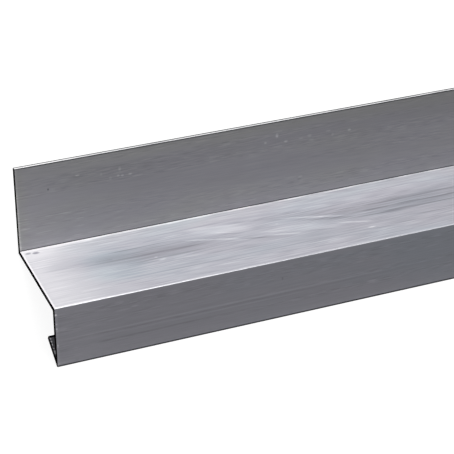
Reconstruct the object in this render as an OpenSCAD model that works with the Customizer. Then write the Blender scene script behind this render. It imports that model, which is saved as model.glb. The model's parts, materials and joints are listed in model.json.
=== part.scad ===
// Stepped aluminium extrusion: an upper flange, a shelf, a front flange and a return lip.
// One straight length of stock, with all dimensions in millimetres.
// It lies as it would on a floor, tipped back onto its lower back corner and its bottom corner.
// X runs along the stock, the front flange faces -Y, Z is up, and the floor is Z = 0.

/* [Stock] */
// Length of the piece, cut square at both ends
length = 1000; // [200:50:3000]

/* [Section] */
// Wall thickness, the same all round
wall = 2; // [1:0.1:4]
// Upper flange, from the shelf's underside to its top edge
upper_height = 40.5; // [20:0.5:80]
// Shelf, from the back of the upper flange to the front face
shelf_depth = 50; // [30:0.5:100]
// Front flange, from the shelf's top to the bottom corner
front_height = 28; // [15:0.5:60]
// Return lip, along its outer face from the bottom corner to its free edge
lip_length = 14; // [8:0.5:25]
// Rise of the return lip towards the back, in degrees
lip_rise = 30; // [5:1:50]

/* [Edges] */
// Rounding of the three outer corners
arris_r = 0.4; // [0.2:0.1:1]
// Fillet in the three inner corners
fillet_r = 0.4; // [0.2:0.1:2]
// Rounding of the two free edges
edge_r = 0.3; // [0.1:0.1:0.4]

/* [Hidden] */
$fn = 48;

// The section is drawn upright first: x to the back, y up, and the step's inner corner at the origin.
along_lip = [cos(lip_rise), sin(lip_rise)];
across_lip = [-sin(lip_rise), cos(lip_rise)];
bottom = [wall - shelf_depth, -front_height];
lip_edge = bottom + lip_length * along_lip;
// How far up the lip its inner face leaves the front flange.
lip_root = wall * (1 + sin(lip_rise)) / cos(lip_rise);

// Its corners in turn, each with its rounding.
corners = [
    [[0, upper_height - wall], edge_r],
    [[wall, upper_height - wall], edge_r],
    [[wall, -wall], arris_r],
    [[2 * wall - shelf_depth, -wall], fillet_r],
    [bottom + wall * across_lip + lip_root * along_lip, fillet_r],
    [lip_edge + wall * across_lip, edge_r],
    [lip_edge, edge_r],
    [bottom, arris_r],
    [[wall - shelf_depth, 0], arris_r],
    [[0, 0], fillet_r],
];
OUTER = [0, 1, 2, 5, 6, 7, 8];
INNER = [3, 4, 9];
BACK_CORNER = 2;
LIP_EDGE = 6;
BOTTOM_CORNER = 7;

function point(i) = corners[i % len(corners)][0];
function radius(i) = corners[i][1];
function unit(v) = v / norm(v);
// Directions from a corner to the one before it and the one after it.
function back_along(i) = unit(point(i + len(corners) - 1) - point(i));
function on_along(i) = unit(point(i + 1) - point(i));
function half_angle(i) = acos(back_along(i) * on_along(i)) / 2;
// A rounding's centre is a hair closer to both faces than its radius, so that its arc crosses them cleanly.
hair = 0.999;
function centre(i) =
    point(i) + unit(back_along(i) + on_along(i)) * hair * radius(i) / sin(half_angle(i));

// How far the section tips back until the back corner and corner i are level on the floor.
function rest_tilt(i) =
    let (v = centre(BACK_CORNER) - centre(i))
    atan2(v.y, v.x) + asin((radius(i) - radius(BACK_CORNER)) / norm(v));
tilt = max(rest_tilt(BOTTOM_CORNER), rest_tilt(LIP_EDGE));

// A point of the upright section as it lies, before it is moved to the middle.
function lying(p) =
    [p.x * cos(tilt) + p.y * sin(tilt), p.y * cos(tilt) - p.x * sin(tilt)];
y_front = min([for (i = OUTER) lying(centre(i)).x - radius(i)]);
y_back = max([for (i = OUTER) lying(centre(i)).x + radius(i)]);
z_floor = lying(centre(BACK_CORNER)).y - radius(BACK_CORNER);

// The sliver between a sharp corner and its rounding, a little larger than the corner itself.
overlap = 1.2;
module sliver(i) {
    reach = hair * radius(i) / tan(half_angle(i));
    outline = [
        point(i) + reach * on_along(i),
        point(i),
        point(i) + reach * back_along(i),
    ];
    translate(centre(i))
        difference() {
            polygon(concat([[0, 0]], [for (p = outline) overlap * (p - centre(i))]));
            circle(r = radius(i));
        }
}

module section() {
    difference() {
        union() {
            polygon([for (c = corners) c[0]]);
            for (i = INNER)
                sliver(i);
        }
        for (i = OUTER)
            sliver(i);
    }
}

module profile() {
    color("#b4b7ba")
        rotate([90, 0, 90])
            linear_extrude(height = length, center = true)
                translate([-(y_front + y_back) / 2, -z_floor])
                    rotate(-tilt)
                        section();
}

profile();
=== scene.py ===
# %% [markdown]
# # A length of stepped aluminium extrusion
# This lesson dresses one part: a straight length of aluminium stock with an upper flange, a flat shelf,
# a front flange and a small return lip. The imported CAD model is loaded first, because it says where
# everything lies. The stock is then modelled again with finer surfaces, and it gets the finish that comes
# from the press and the saw, with painted light and shade in places. Lengths are in metres, and in the
# finishes in millimetres.

# %% Load the imported part
import json
from math import acos, cos, degrees, radians, sin, tan

import bmesh
import bpy
from mathutils import Matrix, Vector


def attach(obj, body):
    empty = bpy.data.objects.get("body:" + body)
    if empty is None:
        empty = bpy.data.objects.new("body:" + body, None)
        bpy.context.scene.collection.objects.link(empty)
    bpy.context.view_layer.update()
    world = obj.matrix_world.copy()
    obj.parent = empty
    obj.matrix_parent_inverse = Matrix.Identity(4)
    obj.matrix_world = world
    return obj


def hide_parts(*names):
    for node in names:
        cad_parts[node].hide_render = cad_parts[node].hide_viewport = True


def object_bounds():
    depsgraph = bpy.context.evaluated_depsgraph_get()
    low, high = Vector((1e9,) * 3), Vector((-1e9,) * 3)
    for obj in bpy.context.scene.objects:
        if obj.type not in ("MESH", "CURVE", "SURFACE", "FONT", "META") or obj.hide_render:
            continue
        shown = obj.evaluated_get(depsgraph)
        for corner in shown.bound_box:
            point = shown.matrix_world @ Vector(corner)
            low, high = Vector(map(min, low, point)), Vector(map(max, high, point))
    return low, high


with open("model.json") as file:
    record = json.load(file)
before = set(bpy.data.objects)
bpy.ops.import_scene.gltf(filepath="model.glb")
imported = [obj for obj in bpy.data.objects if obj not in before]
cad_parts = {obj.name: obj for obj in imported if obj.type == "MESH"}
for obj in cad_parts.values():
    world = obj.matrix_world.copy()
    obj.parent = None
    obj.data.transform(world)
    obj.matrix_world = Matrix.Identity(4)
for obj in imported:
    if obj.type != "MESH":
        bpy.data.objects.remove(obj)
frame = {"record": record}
cad_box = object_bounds()
bpy.ops.object.select_all(action="DESELECT")
LENGTH = cad_box[1].x - cad_box[0].x
print("Stock length:", round(LENGTH, 4), "m")

# %% [markdown]
# ## The section's own directions
# Unheld, the stock lies tipped back on its lower back corner and its bottom corner. It is easier to draw and
# to light it upright, so this step finds where "back" and "up" of the upright section point as it lies.
# The record's two mounts are flat faces of the section, and their axes and places give both directions and
# the step's inner corner.

# %% Find back, up and the inner corner
WALL = 0.002

mounts = {mount["name"]: mount for mount in frame["record"]["mounts"]}
flange_back = mounts["flange_back"]
shelf_under = mounts["shelf_underside"]
along = Vector((1, 0, 0))
back = Vector(flange_back["axis"]).normalized()
up = -Vector(shelf_under["axis"]).normalized()
left_end = cad_box[0].x
corner_back = Vector(flange_back["pos_m"]).dot(back) - WALL
corner_up = Vector(shelf_under["pos_m"]).dot(up) + WALL
tilt = back.angle(Vector((0, 1, 0)))


def place(x, y, z):
    """A point x from the left end, y behind and z above the step's inner corner, as the stock lies."""
    return along * (left_end + x) + back * (corner_back + y) + up * (corner_up + z)


print("Tipped back by", round(degrees(tilt), 2), "degrees, inner corner at",
      tuple(round(c, 4) for c in place(0, 0, 0)))

# %% [markdown]
# ## The camera
# The photograph looks down on the left end through a long lens, so the edges converge only a little. The
# camera could be set by eye, but the stock's straight edges fix it more closely: it stands left of the
# stock, in front of it and above it, and it tips with the stock, so that the section looks upright in the
# picture.

# %% Set the camera
CAMERA_PLACE = (-0.1514, -0.5964, 0.3572)
CAMERA_TURN = radians(22.30)
CAMERA_DROP = radians(29.544)
FOCAL_PIXELS = 1699.3
PHOTO_PIXELS = 454
SENSOR_WIDTH = 36

level = along * sin(CAMERA_TURN) + back * cos(CAMERA_TURN)
look = level * cos(CAMERA_DROP) - up * sin(CAMERA_DROP)
right = along * cos(CAMERA_TURN) - back * sin(CAMERA_TURN)
bpy.ops.object.camera_add()
camera = bpy.context.object
camera.name = "photo_camera"
camera.data.sensor_width = SENSOR_WIDTH
camera.data.lens = FOCAL_PIXELS / PHOTO_PIXELS * SENSOR_WIDTH
axes = Matrix((right, right.cross(look), -look)).transposed()
camera.matrix_world = Matrix.Translation(place(*CAMERA_PLACE)) @ axes.to_4x4()
bpy.context.scene.camera = camera
print("Lens:", round(camera.data.lens, 1), "mm")

# %% [markdown]
# ## Colours and nodes
# Colours are easier to read as hex values from a picture, but shaders work with linear light, so one
# function converts them. A second one adds a shader node with its settings and links, which keeps each
# material short. Sockets that share a name are given by number. A Map Range takes its value in 0, the range
# it comes from in 1 and 2, and the range it goes to in 3 and 4. A colour Mix takes the share in 0 and the
# colours in 6 and 7.

# %% Write the two helpers
def linear(hex_colour):
    """A colour written as sRGB hex, as the linear values that a shader takes, by the sRGB formula."""
    channels = [int(hex_colour[i:i + 2], 16) / 255 for i in (1, 3, 5)]
    return (*[c / 12.92 if c <= 0.04045 else ((c + 0.055) / 1.055) ** 2.4 for c in channels], 1)


def add_node(tree, kind, sockets=None, **fields):
    """Adds a node, sets its fields, and sets or links each named socket."""
    node = tree.nodes.new(kind)
    for name, value in fields.items():
        setattr(node, name, value)
    for name, value in (sockets or {}).items():
        if isinstance(value, bpy.types.NodeSocket):
            tree.links.new(value, node.inputs[name])
        else:
            node.inputs[name].default_value = value
    return node


print("White is", linear("#ffffff")[0], "and mid grey is", round(linear("#808080")[0], 3))

# %% [markdown]
# ## Floor
# The photograph is on plain white. A white floor could be made by strong light, but that would burn out the
# metal. So the paper keeps a plain grey that holds the stock's shadow, and it glows where the camera or a
# reflection looks at it. The metal then shows the same white as the picture does.

# %% Lay the paper
FLOOR_SIZE = 20
PAPER_GLOW = 0.92

scene = bpy.context.scene
scene.view_settings.view_transform = "Standard"
bpy.ops.mesh.primitive_plane_add(size=FLOOR_SIZE)
floor = bpy.context.object
floor.name = "floor"
# Paper is pressed from pulp and left matt, so it scatters light evenly and has no shine.
paper = bpy.data.materials.new("white paper")
paper.use_nodes = True
tree = paper.node_tree
tree.nodes.clear()
matt = add_node(tree, "ShaderNodeBsdfDiffuse", {"Color": linear("#747474")})
glow = add_node(tree, "ShaderNodeEmission", {"Strength": PAPER_GLOW})
bright = add_node(tree, "ShaderNodeAddShader", {0: matt.outputs[0], 1: glow.outputs[0]})
path = add_node(tree, "ShaderNodeLightPath")
seen = path.outputs["Is Camera Ray"]
for ray in ("Is Glossy Ray", "Is Transmission Ray"):
    seen = add_node(tree, "ShaderNodeMath", {0: seen, 1: path.outputs[ray]}, operation="MAXIMUM").outputs[0]
shown = add_node(tree, "ShaderNodeMixShader", {0: seen, 1: matt.outputs[0], 2: bright.outputs[0]})
add_node(tree, "ShaderNodeOutputMaterial", {"Surface": shown.outputs[0]})
floor.data.materials.append(paper)
print("Floor:", FLOOR_SIZE, "m square")

# %% [markdown]
# ## Light
# The shelf is bright in the photograph and both flanges are dull, so the light comes from above and a little
# from the front, and little of it comes from the camera's side. One large softbox does that. The rest of the
# room is dim.

# %% Light the room
SOFTBOX_TOWARDS = (0.3, -0.3, 1.0)
SOFTBOX_AIM = (0.1, 0, 0)
SOFTBOX_SIZE = 3.0
SOFTBOX_DISTANCE = 3.0
SOFTBOX_WATTS = 122
ROOM_LEVEL = 0.05

scene.world = bpy.data.worlds.new("dim room")
scene.world.use_nodes = True
room = scene.world.node_tree.nodes["Background"]
room.inputs["Color"].default_value = linear("#ffffff")
room.inputs["Strength"].default_value = ROOM_LEVEL

from_stock = along * SOFTBOX_TOWARDS[0] + back * SOFTBOX_TOWARDS[1] + up * SOFTBOX_TOWARDS[2]
from_stock.normalize()
bpy.ops.object.light_add(type="AREA", location=place(*SOFTBOX_AIM) + from_stock * SOFTBOX_DISTANCE)
softbox = bpy.context.object
softbox.name = "softbox"
softbox.data.size = SOFTBOX_SIZE
softbox.data.energy = SOFTBOX_WATTS
softbox.rotation_euler = from_stock.to_track_quat("Z", "Y").to_euler()
softbox.visible_camera = False
print("Softbox at", tuple(round(c, 2) for c in softbox.location))

# %% [markdown]
# ## The stock: fold a sheet
# An extrusion has the same section all along, so it could be drawn as a flat outline and pulled out to
# length. Here a sheet is folded instead: the upper flange's front face is a plane, and its lower edge is
# extruded three times, into the shelf, the front flange and the lip. The wall then gets its thickness in
# one step.

# %% Fold the front faces
UPPER = 0.0385
SHELF = 0.048
FRONT = 0.028
LIP = 0.014
LIP_RISE = radians(30)
# The file takes this much off the edges of both ends, so the sheet starts that much shorter at each.
DEBURR = 0.00025
SAME_PLACE = 0.00001


def pick(kind, wanted):
    """Selects only the edges or faces of the edited mesh that pass a test, and returns how many do."""
    bpy.ops.mesh.select_mode(type=kind)
    bpy.ops.mesh.select_all(action="DESELECT")
    mesh = bmesh.from_edit_mesh(bpy.context.edit_object.data)
    chosen = [part for part in (mesh.edges if kind == "EDGE" else mesh.faces) if wanted(part)]
    for part in chosen:
        part.select_set(True)
    bmesh.update_edit_mesh(bpy.context.edit_object.data)
    return len(chosen)


def middle(edge):
    """The middle of an edge."""
    return (edge.verts[0].co + edge.verts[1].co) / 2


lip_way = Vector((0, cos(LIP_RISE), sin(LIP_RISE)))
bpy.ops.object.select_all(action="DESELECT")
bpy.ops.mesh.primitive_plane_add(size=1, location=(0, 0, UPPER / 2), rotation=(radians(90), 0, 0))
stock = bpy.context.object
stock.name = "stock"
stock.scale = (LENGTH - 2 * DEBURR, UPPER, 1)
bpy.ops.object.transform_apply(location=True, rotation=True, scale=True)
bpy.ops.object.mode_set(mode="EDIT")
pick("EDGE", lambda edge: abs(middle(edge).z) < SAME_PLACE)
for fold in (Vector((0, -SHELF, 0)), Vector((0, 0, -FRONT)), lip_way * LIP):
    bpy.ops.mesh.extrude_region_move(TRANSFORM_OT_translate={"value": fold})
bpy.ops.object.mode_set(mode="OBJECT")
print("Sheet of", len(stock.data.polygons), "faces")

# %% Give the wall its thickness
END_FACING = 0.9


def is_end(face):
    """True for a face that closes an end of the stock."""
    return abs(face.normal.x) > END_FACING


solidify = stock.modifiers.new("wall", "SOLIDIFY")
solidify.thickness = WALL
# The wall grows behind the sheet, so the sheet stays the front face.
solidify.offset = -1
solidify.use_even_offset = True
bpy.ops.object.modifier_apply(modifier="wall")
bpy.ops.object.mode_set(mode="EDIT")
bpy.ops.mesh.select_all(action="SELECT")
bpy.ops.mesh.normals_make_consistent(inside=False)
pick("FACE", is_end)
bpy.ops.mesh.dissolve_faces()
bpy.ops.object.mode_set(mode="OBJECT")
print("Wall of", len(stock.data.polygons), "faces")

# %% [markdown]
# ## The stock: round the corners
# No die has perfectly sharp corners, and the light catches each rounding as a thin line. The outer and inner
# corners are rounded alike, and the free edges a little less. The Bevel operator takes the distance from the
# corner to where the rounding starts, so it is worked out from each corner's angle.

# %% Round each long corner
ARRIS_RADIUS = 0.0004
FILLET_RADIUS = 0.0004
EDGE_RADIUS = 0.0003
ROUND_STEPS = 6


def is_long(edge):
    """True for an edge that runs along the whole stock."""
    return abs(edge.verts[0].co.x - edge.verts[1].co.x) > LENGTH / 2


lip_normal = Vector((0, -sin(LIP_RISE), cos(LIP_RISE)))
front_arris = Vector((0, -SHELF, 0))
inner_corner = Vector((0, 0, 0))
bottom = Vector((0, -SHELF, -FRONT))
lip_edge = bottom + lip_way * LIP
lip_root = WALL * (1 + sin(LIP_RISE)) / cos(LIP_RISE)
corners = [
    (front_arris, ARRIS_RADIUS),
    (Vector((0, WALL, -WALL)), ARRIS_RADIUS),
    (bottom, ARRIS_RADIUS),
    (inner_corner, FILLET_RADIUS),
    (Vector((0, WALL - SHELF, -WALL)), FILLET_RADIUS),
    (bottom + lip_normal * WALL + lip_way * lip_root, FILLET_RADIUS),
    (Vector((0, 0, UPPER)), EDGE_RADIUS),
    (Vector((0, WALL, UPPER)), EDGE_RADIUS),
    (lip_edge, EDGE_RADIUS),
    (lip_edge + lip_normal * WALL, EDGE_RADIUS),
]
bpy.ops.object.mode_set(mode="EDIT")
for corner, radius in corners:
    pick("EDGE", lambda edge: is_long(edge) and (middle(edge) - corner).length < SAME_PLACE)
    picked = [edge for edge in bmesh.from_edit_mesh(stock.data).edges if edge.select]
    turn = picked[0].calc_face_angle()
    bpy.ops.mesh.bevel(offset=radius * tan(turn / 2), segments=ROUND_STEPS, affect="EDGES")
bpy.ops.object.mode_set(mode="OBJECT")
print(len(corners), "corners rounded,", len(stock.data.polygons), "faces")

# %% [markdown]
# ## The stock: strips, rings and sawn ends
# The die scores fine lines all along the stock. To carry that relief, each flat face is split into narrow
# strips and the whole length into rings, with nothing but the Subdivide operator on chosen edges. The saw
# leaves the ends square, and a touch of the file breaks their edges: that is an inset that also pushes the
# end face out.

# %% Split the faces and break the end edges
STRIP = 0.0004
RINGS = 25
# At an end, an edge longer than this crosses a flat face, and a shorter one a rounding.
EDGE_FLAT = 0.001


def is_cross(edge):
    """True for an edge across a flat face, at either end of the stock."""
    return not is_long(edge) and edge.calc_length() > EDGE_FLAT


bpy.ops.object.mode_set(mode="EDIT")
crossings = {}
for edge in bmesh.from_edit_mesh(stock.data).edges:
    if is_cross(edge):
        crossings[tuple(round(c, 6) for c in middle(edge).yz)] = edge.calc_length()
for (y, z), width in crossings.items():
    pick("EDGE", lambda edge: is_cross(edge) and (middle(edge).yz - Vector((y, z))).length < SAME_PLACE)
    bpy.ops.mesh.subdivide(number_cuts=round(width / STRIP) - 1)
pick("EDGE", is_long)
bpy.ops.mesh.subdivide(number_cuts=RINGS - 1)
pick("FACE", is_end)
bpy.ops.mesh.inset(thickness=DEBURR, depth=DEBURR)
bpy.ops.object.mode_set(mode="OBJECT")
print(len(crossings), "flat faces split,", len(stock.data.polygons), "faces")

# %% [markdown]
# ## Finish: the pattern's own directions
# Aluminium straight from the press has a mill finish: a dull grey skin with faint flow bands, scored along
# its length by the die. All its patterns run along the stock, so a plain noise is turned upright with the
# section and then drawn out. Each pattern takes its real length and width in millimetres. Wear and the
# painted light by the saw cuts are the same at both ends, so their places are counted from whichever end is
# nearer.

# %% Draw out the streaks
MM = 0.001
NOISE_ROUGHNESS = 0.6
# Nearly all of a noise lies between these two values.
NOISE_LOW = 0.3
NOISE_HIGH = 0.7


def upright_coordinates(tree):
    """Object coordinates turned upright and counted from the step's inner corner at the left end."""
    coords = add_node(tree, "ShaderNodeTexCoord")
    upright = add_node(tree, "ShaderNodeMapping",
                       {"Vector": coords.outputs["Object"], "Rotation": (tilt, 0, 0),
                        "Location": (-left_end, -corner_back, -corner_up)})
    return upright.outputs[0]


def from_nearer_end(tree, section):
    """The same coordinates, with X counted from whichever end is nearer."""
    places = add_node(tree, "ShaderNodeSeparateXYZ", {0: section})
    folded = add_node(tree, "ShaderNodeMath", {0: places.outputs["X"], 1: LENGTH / 2}, operation="PINGPONG")
    mirrored_section = add_node(tree, "ShaderNodeCombineXYZ",
                       {"X": folded.outputs[0], "Y": places.outputs["Y"], "Z": places.outputs["Z"]})
    return mirrored_section.outputs[0]


def streaks(tree, section, along_mm, across_mm, detail=0):
    """Noise from 0 to 1 in streaks with a real length along the stock and a real width across it."""
    drawn = add_node(tree, "ShaderNodeMapping",
                     {"Vector": section,
                      "Scale": (1 / along_mm / MM, 1 / across_mm / MM, 1 / across_mm / MM)})
    noise = add_node(tree, "ShaderNodeTexNoise",
                     {"Vector": drawn.outputs[0], "Scale": 1, "Detail": detail,
                      "Roughness": NOISE_ROUGHNESS})
    return noise.outputs["Fac"]


print("Patterns are turned by", round(degrees(tilt), 2), "degrees, and wear is counted for",
      round(LENGTH / 2, 4), "m from each end")

# %% [markdown]
# ## Finish: small marks
# A bar is dragged, stacked and sawn before it is sold, so its skin has marks that no die makes. Short
# scratches come in rows where the bar slid over something, and a few specks of metal stuck to it. A larger
# mark is one soft ellipse with a frayed edge: a dull band, a smudge, a scuff that crosses the die lines, or
# a patch of painted light or shade.

# %% Scatter the scratches and specks
SCRATCH_BRIGHT = 0.58
SCRATCH_DARK = 0.42
SCRATCH_EDGE = 0.06
# A pattern is written as its length and width in millimetres and the detail of its noise.
ROWS = (220, 3, 1)
ROW_RANGE = (0.44, 0.58)
SPECK_SPACING = (12, 6, 6)
SPECK_RIM = (0.07, 0.04)
SPECK_SHARE = 0.08


def scratches(tree, section, length_mm, width_mm):
    """Short scratches in rows: 1 where one is bright, -1 where one is dark, and 0 between them."""
    dash = streaks(tree, section, length_mm, width_mm)
    bright = add_node(tree, "ShaderNodeMapRange",
                      {0: dash, 1: SCRATCH_BRIGHT, 2: SCRATCH_BRIGHT + SCRATCH_EDGE})
    dark = add_node(tree, "ShaderNodeMapRange",
                    {0: dash, 1: SCRATCH_DARK, 2: SCRATCH_DARK - SCRATCH_EDGE})
    either = add_node(tree, "ShaderNodeMath", {0: bright.outputs[0], 1: dark.outputs[0]},
                      operation="SUBTRACT")
    row = add_node(tree, "ShaderNodeMapRange",
                   {0: streaks(tree, section, *ROWS), 1: ROW_RANGE[0], 2: ROW_RANGE[1]})
    kept = add_node(tree, "ShaderNodeMath", {0: either.outputs[0], 1: row.outputs[0]}, operation="MULTIPLY")
    return kept.outputs[0]


def specks(tree, section):
    """A few bright specks: 1 on a speck and 0 elsewhere."""
    spaced = add_node(tree, "ShaderNodeMapping",
                      {"Vector": section, "Scale": [1 / gap / MM for gap in SPECK_SPACING]})
    cells = add_node(tree, "ShaderNodeTexVoronoi", {"Vector": spaced.outputs[0], "Scale": 1})
    spot = add_node(tree, "ShaderNodeMapRange",
                    {0: cells.outputs["Distance"], 1: SPECK_RIM[0], 2: SPECK_RIM[1]})
    draw = add_node(tree, "ShaderNodeSeparateColor", {0: cells.outputs["Color"]})
    few = add_node(tree, "ShaderNodeMath", {0: draw.outputs[0], 1: SPECK_SHARE}, operation="LESS_THAN")
    kept = add_node(tree, "ShaderNodeMath", {0: spot.outputs[0], 1: few.outputs[0]}, operation="MULTIPLY")
    return kept.outputs[0]


print("Scratch rows of", ROWS[0], "mm, and a speck in one of", round(1 / SPECK_SHARE), "cells")

# %% Place a mark
FRAY = 0.9
MARK_CORE = 0.35


def mark(tree, section, fray, centre_mm, size_mm, turn):
    """One soft mark, at a place and of a size in millimetres: 1 in its middle and 0 outside."""
    spot = add_node(tree, "ShaderNodeMapping",
                    {"Vector": section, "Location": [c * MM for c in centre_mm],
                     "Rotation": (0, 0, radians(turn)),
                     "Scale": [size / 2 * MM for size in size_mm]}, vector_type="TEXTURE")
    away = add_node(tree, "ShaderNodeVectorMath", {0: spot.outputs[0]}, operation="LENGTH")
    frayed = add_node(tree, "ShaderNodeMath", {0: fray, 1: FRAY, 2: away.outputs["Value"]},
                      operation="MULTIPLY_ADD")
    soft = add_node(tree, "ShaderNodeMapRange",
                    {0: frayed.outputs[0], 1: 1 + FRAY / 2, 2: MARK_CORE + FRAY / 2},
                    interpolation_type="SMOOTHSTEP")
    return soft.outputs[0]


print("A mark is full out to about", MARK_CORE, "of its half size")

# %% [markdown]
# ## Finish: one face
# Every layer of the finish makes the skin lighter or darker, so each adds to one tone from 0 to 1, and a
# colour ramp turns the tone into a colour. Some of the layers are painted light and shade. A faint tint on
# top keeps the grey from being the same everywhere. The score lines spread a reflection across the stock far
# more than along it, so the shader is anisotropic, with its tangent running round the stock.

# %% Add up a face's tone
MID_TONE = 0.5
END_LIGHT_FRAY = 8


def face_tone(tree, section, mirrored_section, bands, lines, layers, gradients, marks):
    """The tone of a face, from 0 to 1, as the sum of all that makes it lighter or darker."""
    places = add_node(tree, "ShaderNodeSeparateXYZ", {0: mirrored_section})
    # The last centimetres by a saw cut get painted light, up to a frayed line, and have fewer marks.
    frayed = add_node(tree, "ShaderNodeMath", {0: bands, 1: -END_LIGHT_FRAY * MM, 2: places.outputs["X"]},
                      operation="MULTIPLY_ADD")
    start_mm, end_mm = [place_mm - END_LIGHT_FRAY / 2 for place_mm in layers["end_light_mm"]]
    end_light = add_node(tree, "ShaderNodeMapRange", {0: frayed.outputs[0], 1: start_mm * MM, 2: end_mm * MM},
                     interpolation_type="SMOOTHSTEP")
    worn = add_node(tree, "ShaderNodeMapRange", {0: end_light.outputs[0], 3: 1, 4: layers["clean_marks"]})
    changes = [(end_light.outputs[0], layers["end_light"]), (specks(tree, section), layers["specks"])]
    patterns = [(scratches(tree, section, *layers["scratch_mm"]), layers["scratches"])]
    grain = streaks(tree, section, *layers["grain_mm"])
    for noise, change in ((bands, layers["bands"]), (lines, layers["lines"]), (grain, layers["grain"])):
        spread = add_node(tree, "ShaderNodeMapRange", {0: noise, 1: NOISE_LOW, 2: NOISE_HIGH, 3: -1, 4: 1})
        patterns.append((spread.outputs[0], change))
    for pattern, change in patterns:
        kept = add_node(tree, "ShaderNodeMath", {0: pattern, 1: worn.outputs[0]}, operation="MULTIPLY")
        changes.append((kept.outputs[0], change))
    for axis, start_mm, end_mm, change in gradients:
        ramp = add_node(tree, "ShaderNodeMapRange",
                        {0: places.outputs[axis], 1: start_mm * MM, 2: end_mm * MM},
                        interpolation_type="SMOOTHSTEP")
        changes.append((ramp.outputs[0], change))
    for centre_mm, size_mm, turn, change in marks:
        changes.append((mark(tree, mirrored_section, lines, centre_mm, size_mm, turn), change))
    tone = MID_TONE
    for share, change in changes:
        tone = add_node(tree, "ShaderNodeMath", {0: share, 1: change, 2: tone},
                        operation="MULTIPLY_ADD").outputs[0]
    return tone


print("Every face starts from tone", MID_TONE)

# %% Tint a face
PATCHES = (45, 14, 1)
TINT_RANGE = (0.42, 0.92)


def face_tint(tree, section, mirrored_section, lines, tints, tint_marks):
    """The faint tint of a face, in soft patches of one tint on the other."""
    patches = streaks(tree, section, *PATCHES)
    for centre_mm, size_mm, turn, change in tint_marks:
        spot = mark(tree, mirrored_section, lines, centre_mm, size_mm, turn)
        patches = add_node(tree, "ShaderNodeMath", {0: spot, 1: change, 2: patches},
                           operation="MULTIPLY_ADD").outputs[0]
    share = add_node(tree, "ShaderNodeMapRange", {0: patches, 1: TINT_RANGE[0], 2: TINT_RANGE[1]})
    tint = add_node(tree, "ShaderNodeMix",
                    {0: share.outputs[0], 6: linear(tints[0]), 7: linear(tints[1])}, data_type="RGBA")
    return tint.outputs[2]


print("Tint patches about", PATCHES[0], "mm long")

# %% Build up an extruded face
BANDS = (150, 4, 3)
# Score lines are a few hundredths of a millimetre wide, and are drawn at 0.8 mm to show in the render.
LINES = (24, 0.8, 2)
LINE_DEPTH = 0.02
SKIN_ROUGHNESS = (0.57, 0.63)
SKIN_ANISOTROPY = 0.8


def extruded_face(name, tones, tints, layers, gradients, marks, tint_marks=()):
    """Mill finish aluminium, with its tones from the darkest mark to the brightest and what changes them."""
    # Pressed through a steel die and left as it came: a dull grey metal with fine bright lines along it.
    material = bpy.data.materials.new(name)
    material.use_nodes = True
    tree = material.node_tree
    section = upright_coordinates(tree)
    mirrored_section = from_nearer_end(tree, section)
    bands = streaks(tree, section, *BANDS)
    lines = streaks(tree, section, *LINES)
    tone = face_tone(tree, section, mirrored_section, bands, lines, layers, gradients, marks)
    skin = add_node(tree, "ShaderNodeValToRGB", {0: tone})
    stops = skin.color_ramp.elements
    stops[0].color = linear(tones[0])
    stops[1].color = linear(tones[-1])
    for i in range(1, len(tones) - 1):
        stops.new(i / (len(tones) - 1)).color = linear(tones[i])
    tint = face_tint(tree, section, mirrored_section, lines, tints, tint_marks)
    tinted = add_node(tree, "ShaderNodeMix", {0: 1, 6: skin.outputs[0], 7: tint},
                      data_type="RGBA", blend_type="MULTIPLY")
    gloss = add_node(tree, "ShaderNodeMapRange",
                     {0: bands, 1: NOISE_LOW, 2: NOISE_HIGH, 3: SKIN_ROUGHNESS[0], 4: SKIN_ROUGHNESS[1]})
    relief = add_node(tree, "ShaderNodeBump", {"Height": lines, "Strength": 1, "Distance": LINE_DEPTH * MM})
    tangent = add_node(tree, "ShaderNodeTangent", direction_type="RADIAL", axis="X")
    shader = tree.nodes["Principled BSDF"]
    shader.inputs["Metallic"].default_value = 1
    shader.inputs["Anisotropic"].default_value = SKIN_ANISOTROPY
    for socket, source in (("Base Color", tinted.outputs[2]), ("Roughness", gloss.outputs[0]),
                           ("Normal", relief.outputs[0]), ("Tangent", tangent.outputs[0])):
        tree.links.new(source, shader.inputs[socket])
    return material


print("Score lines", LINES[0], "mm long and", LINE_DEPTH, "mm deep")

# %% [markdown]
# ## Finish: the two flanges
# The flanges slid against other bars, so they are an even dull grey with short scratches in rows. Each face
# has its own tones, as lit and shaded copies of one grey: painted shade makes the upper flange darker than
# the shelf, and the front darker still. A mark is a row of millimetres, counted from the nearer end and from
# the step's inner corner, and its last number makes it lighter or darker.

# %% Write rows as marks
# A mark is far thicker than the wall, so its outline on the face is all that shows.
FLAT = 1000


def upright_marks(rows):
    """Marks on an upright face, from rows of x, z, length, height and change of tone."""
    return [((x, 0, z), (length, FLAT, height), 0, change) for x, z, length, height, change in rows]


def level_marks(rows):
    """Marks on the shelf, from rows of x, y, length, width, turn in degrees and change of tone."""
    return [((x, y, 0), (length, width, FLAT), turn, change) for x, y, length, width, turn, change in rows]


print("A mark is", FLAT, "mm thick, and the wall", WALL / MM, "mm")

# %% Finish the upper flange
# How far each layer moves the tone, and the length and width of its pattern. The painted light at the end
# starts and is full at two distances from the saw cut. Real scratches are finer, and are drawn this wide to
# show in the render.
flange_layers = {
    "bands": 0.05, "lines": 0.03, "specks": 0.35,
    "grain": 0.025, "grain_mm": (10, 0.5),
    "scratches": 0.10, "scratch_mm": (6, 0.5),
    "end_light": 0.065, "end_light_mm": (80, 4), "clean_marks": 1,
}
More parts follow.
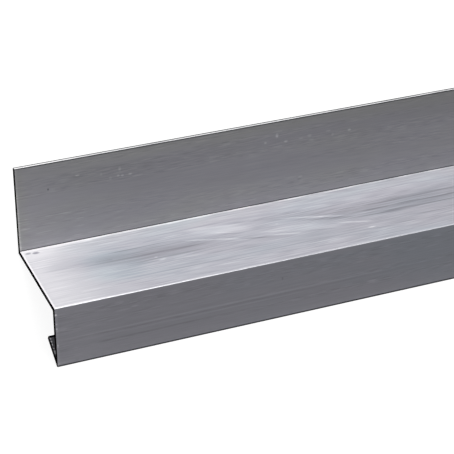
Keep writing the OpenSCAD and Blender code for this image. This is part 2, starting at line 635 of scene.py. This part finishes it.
# Painted light: lighter below the top and by the shelf. The dark line under the top edge is painted shade,
# and the pale one by the saw cut a painted highlight.
flange_gradients = [("Z", 35, 24, 0.06), ("Z", 14, 0, 0.06), ("Z", 37.7, 38.1, -0.25),
                    ("X", 1.4, 0.6, 0.11)]
flange_marks = upright_marks([
    # Painted light: a lighter lower end, and a painted highlight as a lighter border by the saw cut.
    (0, 4, 130, 64, 0.055),
    (0, 16, 2.2, 60, 0.06),
    # A dark pit, a bright nick, and flecks where something hard was dragged past.
    (13.8, 26.6, 1.2, 1.5, -0.6),
    (26.6, 30.6, 2.6, 1.0, 0.30),
    (36.8, 29.0, 1.2, 2.4, 0.12),
    (40.8, 26.6, 1.7, 2.4, 0.12),
    (45.0, 30.0, 1.7, 3.0, 0.20),
    (44.3, 27.1, 1.8, 1.3, 0.22),
    (46.1, 26.8, 1.8, 1.4, 0.24),
    (49.5, 26.8, 2.4, 1.4, 0.20),
    (53, 25.5, 6, 1.0, 0.12),
    (116.4, 32.0, 2.0, 3.2, 0.26),
    (111, 29.5, 2.0, 1.4, 0.26),
    (120.6, 28.4, 2.6, 1.5, 0.24),
    (127.8, 28.6, 3.0, 1.0, 0.14),
    (131.8, 29.0, 3.0, 1.8, 0.18),
    (132.8, 26.9, 3.4, 1.0, 0.18),
    (140.8, 29.7, 3.0, 1.1, 0.18),
    (142.8, 27.5, 1.8, 2.2, 0.15),
    (150.9, 28.2, 1.8, 1.7, 0.22),
    (127.8, 9.8, 3.0, 1.2, 0.18),
    (127.4, 8.7, 3.0, 1.0, -0.18),
    (92.5, 33.2, 6, 1.0, -0.18),
])
# Warmer along the top and by the saw cut.
flange_tint_marks = upright_marks([(500, 39, 1400, 18, 0.5), (0, 20, 12, 60, 0.4)])
# The upper flange's tones are painted darker than the shelf's, as painted shade.
flange_skin = extruded_face(
    "mill finish aluminium, flange", ("#747479", "#8e8e93", "#9e9ea3", "#b0b0b5", "#e6e6e8"),
    ("#fffeff", "#fffff9"), flange_layers, flange_gradients, flange_marks, flange_tint_marks)
print("Upper flange finish:", flange_skin.name, "with", len(flange_marks), "marks")

# %% Finish the front flange
front_layers = {**flange_layers, "scratches": 0.11, "end_light": 0.07, "end_light_mm": (30, 10)}
# Painted light: lighter towards the bottom, and a painted highlight by the saw cut.
front_gradients = [("Z", -20, -26, 0.06), ("X", 1.8, 0.6, 0.13)]
front_marks = upright_marks([
    # Burrs by the saw cut, painted bright as glints.
    (0.6, -3.0, 1.2, 1.2, 0.40),
    (0.7, -9.6, 1.0, 1.6, 0.22),
    (0.7, -7.4, 1.0, 1.0, 0.16),
    (0.8, -17.5, 1.0, 2.6, 0.18),
    # Rows of broken score lines, and a few short nicks.
    (80, -15.1, 220, 1.1, 0.13),
    (80, -16.2, 220, 1.1, -0.10),
    (60, -17.2, 160, 1.0, 0.08),
    (40, -19.8, 100, 1.2, -0.13),
    (28.5, -7.2, 9, 1.1, 0.14),
    (33.5, -6.5, 5, 1.1, 0.18),
    (82.5, -7.8, 5, 1.2, 0.12),
    (98.4, -8.6, 1.2, 1.6, -0.22),
    (140, -19.4, 6, 1.3, 0.16),
    (168, -8.2, 8, 1.2, 0.10),
])
# Cooler away from the saw cut.
front_tint_marks = upright_marks([(30, -14, 110, 60, -0.3), (280, -8, 460, 44, 0.4)])
# The front's tones are the darkest, as painted shade.
front_skin = extruded_face(
    "mill finish aluminium, front", ("#66666b", "#7c7c82", "#8b8b91", "#9a9aa0", "#d0d0d4"),
    ("#fffeff", "#f8fdff"), front_layers, front_gradients, front_marks, front_tint_marks)
print("Front finish:", front_skin.name, "with", len(front_marks), "marks")

# %% [markdown]
# ## Finish: the shelf and the top edge
# The shelf carried the load when the bars lay in the rack, so it has flow bands, long score lines and scuffs
# that cross them. The narrow top of the upper flange faces the light and is painted paler, as painted light,
# and its back border is painted dark, as painted shade.

# %% Finish the shelf
shelf_layers = {
    "bands": 0.03, "lines": 0.06, "specks": 0.15,
    "grain": 0.08, "grain_mm": (14, 0.7),
    "scratches": 0.11, "scratch_mm": (12, 0.8),
    "end_light": 0.31, "end_light_mm": (42, 4), "clean_marks": 0.25,
}
# Painted light: lighter by the inner corner, painted highlights along its borders and by the saw cut, and
# darker away from the saw cut.
shelf_gradients = [("Y", -13, -4, 0.17), ("Y", -1.7, -1.0, 0.27), ("Y", -46.9, -47.4, 0.26),
                   ("X", 30, 180, -0.07), ("X", 1.2, 0.6, 0.15)]
shelf_marks = level_marks([
    # Two smudges by the end, dull bands along the middle, and light patches between them.
    (2.9, -2.9, 3.4, 1.8, 0, -0.36),
    (6.0, -3.4, 3.8, 2.2, 0, -0.56),
    (10, -5.5, 56, 14, 0, -0.07),
    (50, -21.5, 92, 16, -1, -0.23),
    (172, -21.5, 110, 17, 0, -0.18),
    (18, -17, 36, 11, 0, -0.10),
    (122, -16, 64, 9, -8, -0.12),
    (130, -31, 240, 14, 0, -0.06),
    (84, -14, 34, 10, -14, 0.18),
    (118, -26.3, 42, 8, -15, 0.14),
    # Less of the painted highlight on the inner corner away from the end.
    (180, -0.8, 230, 3.4, 0, -0.09),
    # Long score lines.
    (90, -37.4, 190, 1.2, 0, -0.18),
    (80, -8.6, 110, 1.3, 0, -0.18),
    (49, -15.4, 38, 1.4, 0, -0.20),
    (52, -22.1, 72, 1.9, -1, -0.20),
    (60, -26.5, 72, 1.7, 0, -0.20),
    (172, -18.2, 84, 2.6, 0, -0.20),
    (172, -22.7, 90, 1.9, 0, -0.26),
    (168, -26.7, 80, 1.8, 0, -0.22),
    # Scuffs that cross the die lines, some of them with a dull side.
    (74, -19.6, 20, 1.7, -18, 0.28),
    (84, -22.8, 14, 1.7, -20, 0.26),
    (96, -26.6, 18, 1.6, -14, -0.30),
    (108, -28.0, 20, 1.7, -15, 0.30),
    (127, -19.6, 32, 1.8, -17, 0.30),
    (130, -22.6, 30, 3.0, -14, -0.20),
    (140, -29.8, 24, 1.7, -17, 0.27),
    (85, -17.4, 16, 1.4, -17, 0.16),
    (87, -19.0, 14, 2.0, -17, -0.12),
    (102, -20.0, 18, 5.0, -15, -0.08),
    (104, -24.0, 18, 1.4, -15, 0.14),
    (115, -16.2, 14, 1.4, -17, 0.16),
    (125, -30.6, 20, 1.4, -13, -0.14),
    # White flecks.
    (53, -28.2, 5, 1.4, 8, 0.30),
    (51, -25.6, 2, 1.4, 0, 0.25),
    (145, -36.6, 5, 1.4, 0, 0.28),
    # More bands, patches and scuffs farther along, where the photograph does not reach.
    (282, -19, 120, 15, 0, -0.18),
    (410, -24, 130, 16, 0, -0.18),
    (345, -27, 60, 9, -9, 0.14),
    (470, -17, 70, 9, 8, 0.12),
    (300, -21, 34, 1.8, -15, 0.28),
    (306, -24, 30, 3.0, -13, -0.20),
    (428, -24, 36, 1.8, 13, 0.28),
    (440, -20, 30, 2.6, 12, -0.18),
])
# Cooler in the first dull band, and neutral by the saw cut.
shelf_tint_marks = level_marks([(34, -24, 34, 36, 0, 0.45), (0, -24, 48, 110, 0, -0.3)])
# The shelf's tones are the lit copy, lighter than the flanges': painted light.
shelf_skin = extruded_face(
    "mill finish aluminium, shelf", ("#828289", "#97979e", "#a9a9b0", "#bcbcc1", "#e6e5e7"),
    ("#fffefe", "#f8ffff"), shelf_layers, shelf_gradients, shelf_marks, shelf_tint_marks)
print("Shelf finish:", shelf_skin.name, "with", len(shelf_marks), "marks")

# %% Finish the top edge
# Painted shade: dark towards the back.
top_gradients = [("Y", 0.9, 1.4, -0.8)]
# Its tones are paler than the shelf's: painted light.
top_skin = extruded_face(
    "mill finish aluminium, top edge", ("#505052", "#98989a", "#d0d0d1", "#dededf", "#ebebeb"),
    ("#fffefe", "#fdffff"), shelf_layers, top_gradients, [])
print("Top edge finish:", top_skin.name)

# %% [markdown]
# ## Finish: corners and ends
# The front corner is rubbed smooth where bars touch, and carries a painted highlight that is brightest near
# the ends. Painted shade lies along the free edges and in the inner corners as a dark line. The saw leaves
# fine slanting strokes on the ends, which are painted dark as painted shade. A metal shows a bright sheen
# where it is seen at a grazing angle; both painted-shade finishes take it away with a dark specular tint.

# %% Make the rubbed corner with its painted highlight
WEAR = (25, 1.5, 2)
RUBBED_ROUGHNESS = (0.38, 0.50)
# Where the painted highlight grows, in millimetres from the nearer end, and how much it adds.
HIGHLIGHT_FROM_END = (110, 20)
HIGHLIGHT_SHARE = (-0.45, 0.35)

# Bars that slide over each other polish the corner, so it is smoother than the skin. Its paler colour,
# brightest near the ends, is a painted highlight.
rubbed_highlight = bpy.data.materials.new("polished aluminium corner, painted highlight")
rubbed_highlight.use_nodes = True
tree = rubbed_highlight.node_tree
section = upright_coordinates(tree)
wear = streaks(tree, section, *WEAR)
gloss = add_node(tree, "ShaderNodeMapRange",
                 {0: wear, 1: NOISE_LOW, 2: NOISE_HIGH, 3: RUBBED_ROUGHNESS[0], 4: RUBBED_ROUGHNESS[1]})
places = add_node(tree, "ShaderNodeSeparateXYZ", {0: from_nearer_end(tree, section)})
share = add_node(tree, "ShaderNodeMapRange",
                 {0: places.outputs["X"], 1: HIGHLIGHT_FROM_END[0] * MM, 2: HIGHLIGHT_FROM_END[1] * MM,
                  3: HIGHLIGHT_SHARE[0], 4: HIGHLIGHT_SHARE[1]})
polish_and_highlight = add_node(tree, "ShaderNodeMath", {0: wear, 1: share.outputs[0]}, operation="ADD", use_clamp=True)
# Paler where the painted highlight is.
tone = add_node(tree, "ShaderNodeMix",
                {0: polish_and_highlight.outputs[0], 6: linear("#9fa0a5"), 7: linear("#d4d5d8")}, data_type="RGBA")
shader = tree.nodes["Principled BSDF"]
shader.inputs["Metallic"].default_value = 1
tree.links.new(gloss.outputs[0], shader.inputs["Roughness"])
tree.links.new(tone.outputs[2], shader.inputs["Base Color"])
print("Corner finish:", rubbed_highlight.name)

# %% Make the edges in painted shade
SHADE_STREAKS = (30, 1, 2)
SHADED_EDGE_ROUGHNESS = (0.55, 0.65)
# Each of these is an axis, the middle of a range on it and how far it reaches to both sides.
LIP_SIDE = ("Y", -42.2, 4.4)
LIP_FREE_EDGE = ("Y", -36.6, 1.1)
GLINT_BY_END = ("X", 0.6, 0.2)
GLINT_DASH = (4, 0.8)
GLINT_RANGE = (0.40, 0.55)

# Painted shade makes the roundings, the lip's upper side and the strips by the edges dark, and a rough
# surface keeps them dull. The shade is lighter on the lip's upper side and darkest on its free edge, and by
# the end of the lip a broken bright line is painted on as a highlight.
shaded_edge = bpy.data.materials.new("aluminium edge in painted shade")
shaded_edge.use_nodes = True
tree = shaded_edge.node_tree
section = upright_coordinates(tree)
shade_streaks = streaks(tree, section, *SHADE_STREAKS)
places = add_node(tree, "ShaderNodeSeparateXYZ", {0: from_nearer_end(tree, section)})
on_lip, on_free_edge, by_end = [
    add_node(tree, "ShaderNodeMath", {0: places.outputs[axis], 1: middle_mm * MM, 2: reach_mm * MM},
             operation="COMPARE").outputs[0]
    for axis, middle_mm, reach_mm in (LIP_SIDE, LIP_FREE_EDGE, GLINT_BY_END)]
dashes = add_node(tree, "ShaderNodeMapRange",
                  {0: streaks(tree, section, *GLINT_DASH), 1: GLINT_RANGE[0], 2: GLINT_RANGE[1]})
# A broken near-white line by the end of the lip: a painted highlight.
glint = add_node(tree, "ShaderNodeMath", {0: by_end, 1: on_lip}, operation="MULTIPLY")
glint = add_node(tree, "ShaderNodeMath", {0: glint.outputs[0], 1: dashes.outputs[0]}, operation="MULTIPLY")
# Dark base colours: painted shade.
tone = add_node(tree, "ShaderNodeMix", {0: shade_streaks, 6: linear("#3c3c40"), 7: linear("#545458")},
                data_type="RGBA")
for share, colour in ((on_lip, "#78787c"), (on_free_edge, "#1c1c1e"), (glint.outputs[0], "#f4f4f6")):
    tone = add_node(tree, "ShaderNodeMix", {0: share, 6: tone.outputs[2], 7: linear(colour)},
                    data_type="RGBA")
gloss = add_node(tree, "ShaderNodeMapRange",
                 {0: shade_streaks, 1: NOISE_LOW, 2: NOISE_HIGH, 3: SHADED_EDGE_ROUGHNESS[0], 4: SHADED_EDGE_ROUGHNESS[1]})
shader = tree.nodes["Principled BSDF"]
shader.inputs["Metallic"].default_value = 1
# The dark specular tint is part of the painted shade.
shader.inputs["Specular Tint"].default_value = linear("#7a7a7a")
tree.links.new(gloss.outputs[0], shader.inputs["Roughness"])
tree.links.new(tone.outputs[2], shader.inputs["Base Color"])
print("Edge finish:", shaded_edge.name)

# %% Make the sawn ends in painted shade
STROKE_MM = (1, 6, 0.3)
STROKE_SLANT = radians(35)
STROKE_DEPTH = 0.03
STROKE_DETAIL = 2
SAWN_ROUGHNESS = 0.6

# Each tooth of the saw leaves a slanting stroke, so the ends are rough and dull. They face away from the
# light, and their near-black colour and dark specular tint are painted shade.
sawn = bpy.data.materials.new("sawn aluminium end, painted shade")
sawn.use_nodes = True
tree = sawn.node_tree
turned = add_node(tree, "ShaderNodeMapping",
                  {"Vector": upright_coordinates(tree), "Rotation": (STROKE_SLANT, 0, 0)})
stroke = add_node(tree, "ShaderNodeMapping",
                  {"Vector": turned.outputs[0], "Scale": [1 / size / MM for size in STROKE_MM]})
teeth = add_node(tree, "ShaderNodeTexNoise",
                 {"Vector": stroke.outputs[0], "Scale": 1, "Detail": STROKE_DETAIL})
# Near-black colours: painted shade.
tone = add_node(tree, "ShaderNodeMix",
                {0: teeth.outputs["Fac"], 6: linear("#161618"), 7: linear("#28282b")}, data_type="RGBA")
relief = add_node(tree, "ShaderNodeBump",
                  {"Height": teeth.outputs["Fac"], "Strength": 1, "Distance": STROKE_DEPTH * MM})
shader = tree.nodes["Principled BSDF"]
shader.inputs["Metallic"].default_value = 1
shader.inputs["Roughness"].default_value = SAWN_ROUGHNESS
shader.inputs["Specular Tint"].default_value = linear("#303030")
tree.links.new(tone.outputs[2], shader.inputs["Base Color"])
tree.links.new(relief.outputs[0], shader.inputs["Normal"])
print("End finish:", sawn.name)

# %% [markdown]
# ## Finish: where each one goes
# A material slot belongs to the object, and each face of the mesh names one slot. As by hand, the faces are
# selected in edit mode, by their place or the way they face, and the slot is assigned to the selection.
# The flange finish goes everywhere first, and the others then take their own faces.

# %% Tell the faces apart
# How nearly a face has to look the way that is asked for, as a cosine.
ON_FACE = 0.995
SHELF_FACING = 0.85
# A face along the stock looks less than this towards either end.
LENGTHWISE = 0.1
skyward = Vector((0, 0, 1))
forward = Vector((0, -1, 0))


def is_rounding(face):
    """True for a rounding of a long corner."""
    on_flat = max(abs(face.normal.dot(way)) for way in (skyward, forward, lip_normal)) > ON_FACE
    return abs(face.normal.x) < LENGTHWISE and not on_flat


def near_corner(face, corner):
    """True for a face of the rounding at a corner of the section."""
    return is_rounding(face) and (face.calc_center_median().yz - corner.yz).length < 2 * ARRIS_RADIUS


def lies_on(face, way, distance):
    """True for a face that looks one way from a plane at a distance."""
    off_plane = face.calc_center_median().dot(way) - distance
    return face.normal.dot(way) > ON_FACE and abs(off_plane) < SAME_PLACE


def on_shelf(face):
    """True for a face of the shelf's top, or of the lower part of the rounding beside it."""
    return lies_on(face, skyward, 0) or near_corner(face, inner_corner) and face.normal.z > SHELF_FACING


def on_top_edge(face):
    """True for a face of the upper flange's narrow top."""
    return lies_on(face, skyward, UPPER)


def on_front(face):
    """True for a face of the front flange's front."""
    return lies_on(face, forward, SHELF)


def in_gutter(face):
    """True for a face of the lip's upper side."""
    return lies_on(face, lip_normal, bottom.dot(lip_normal) + WALL)


def by_bottom(face):
    """True for the lowest strip of the front, by the bottom corner."""
    return on_front(face) and face.calc_center_median().z < -FRONT + 2 * ARRIS_RADIUS + STRIP


def by_top_back(face):
    """True for the last strip of the narrow top, by its back edge."""
    return on_top_edge(face) and face.calc_center_median().y > WALL - EDGE_RADIUS - STRIP


print("A flat face looks within", round(degrees(acos(ON_FACE)), 1), "degrees of its way")

# %% Give each face its finish
RUBBED_HIGHLIGHT_FACING = 0.5
# This takes in the filed edges, which slant between the end and the long faces.
SAWN_FACING = 0.5

finishes = [
    (flange_skin, lambda face: True),
    # Painted shade on the roundings, the lip's upper side and the strips by the top's back edge and the
    # bottom corner; later finishes take some roundings back.
    (shaded_edge, lambda face: is_rounding(face) or in_gutter(face) or by_top_back(face) or by_bottom(face)),
    (shelf_skin, on_shelf),
    (top_skin, lambda face: on_top_edge(face) and not by_top_back(face)),
    (front_skin, lambda face: on_front(face) and not by_bottom(face) or near_corner(face, front_arris)),
    # The ends, in painted shade.
    (sawn, lambda face: abs(face.normal.x) > SAWN_FACING),
    # The upper half of the front corner's rounding gets the painted highlight.
    (rubbed_highlight, lambda face: near_corner(face, front_arris) and face.normal.z > RUBBED_HIGHLIGHT_FACING),
]
bpy.ops.object.mode_set(mode="EDIT")
for slot, (finish, wanted) in enumerate(finishes):
    stock.data.materials.append(finish)
    stock.active_material_index = slot
    count = pick("FACE", wanted)
    bpy.ops.object.material_slot_assign()
    print(finish.name, "on", count, "faces")
bpy.ops.object.mode_set(mode="OBJECT")

# %% [markdown]
# ## Die lines
# The score lines are also real relief. A Displace modifier moves the strips in and out by about a hundredth
# of a millimetre, by a cloud texture that an empty object stretches along the stock. It is applied, so the
# mesh keeps it.

# %% Score the faces
DIE_LINE_LENGTH = 0.6
DIE_LINE_WIDTH = 0.0014
DIE_LINE_DEPTH = 0.000012

clouds = bpy.data.textures.new("die lines", type="CLOUDS")
clouds.noise_scale = 1
bpy.ops.object.empty_add()
guide = bpy.context.object
guide.scale = (DIE_LINE_LENGTH, DIE_LINE_WIDTH, DIE_LINE_WIDTH)
bpy.context.view_layer.update()
bpy.context.view_layer.objects.active = stock
score = stock.modifiers.new("die lines", "DISPLACE")
score.texture = clouds
score.texture_coords = "OBJECT"
score.texture_coords_object = guide
score.strength = DIE_LINE_DEPTH
# The middle grey of the texture leaves the face where it is.
score.mid_level = 0.5
bpy.ops.object.modifier_apply(modifier="die lines")
bpy.data.objects.remove(guide)
print("Die lines", round(DIE_LINE_DEPTH / MM, 3), "mm deep")

# %% [markdown]
# ## Onto the floor
# The stock was drawn upright at the origin. It is now turned and moved to where the CAD model lies, and the
# move is applied, so that the object itself stays at the origin and unturned. The last lines say which CAD
# node it stands for and which body carries it.

# %% Tip the stock onto the floor
SMOOTH_ANGLE = radians(30)

bpy.ops.object.select_all(action="DESELECT")
stock.select_set(True)
bpy.context.view_layer.objects.active = stock
bpy.ops.object.shade_smooth_by_angle(angle=SMOOTH_ANGLE)
stock.rotation_euler = (-tilt, 0, 0)
stock.location = place(LENGTH / 2, 0, 0)
bpy.ops.object.transform_apply(location=True, rotation=True, scale=True)
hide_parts("profile")
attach(stock, "root")
print("Lowest point", round(min(v.co.z for v in stock.data.vertices) / MM, 3), "mm")
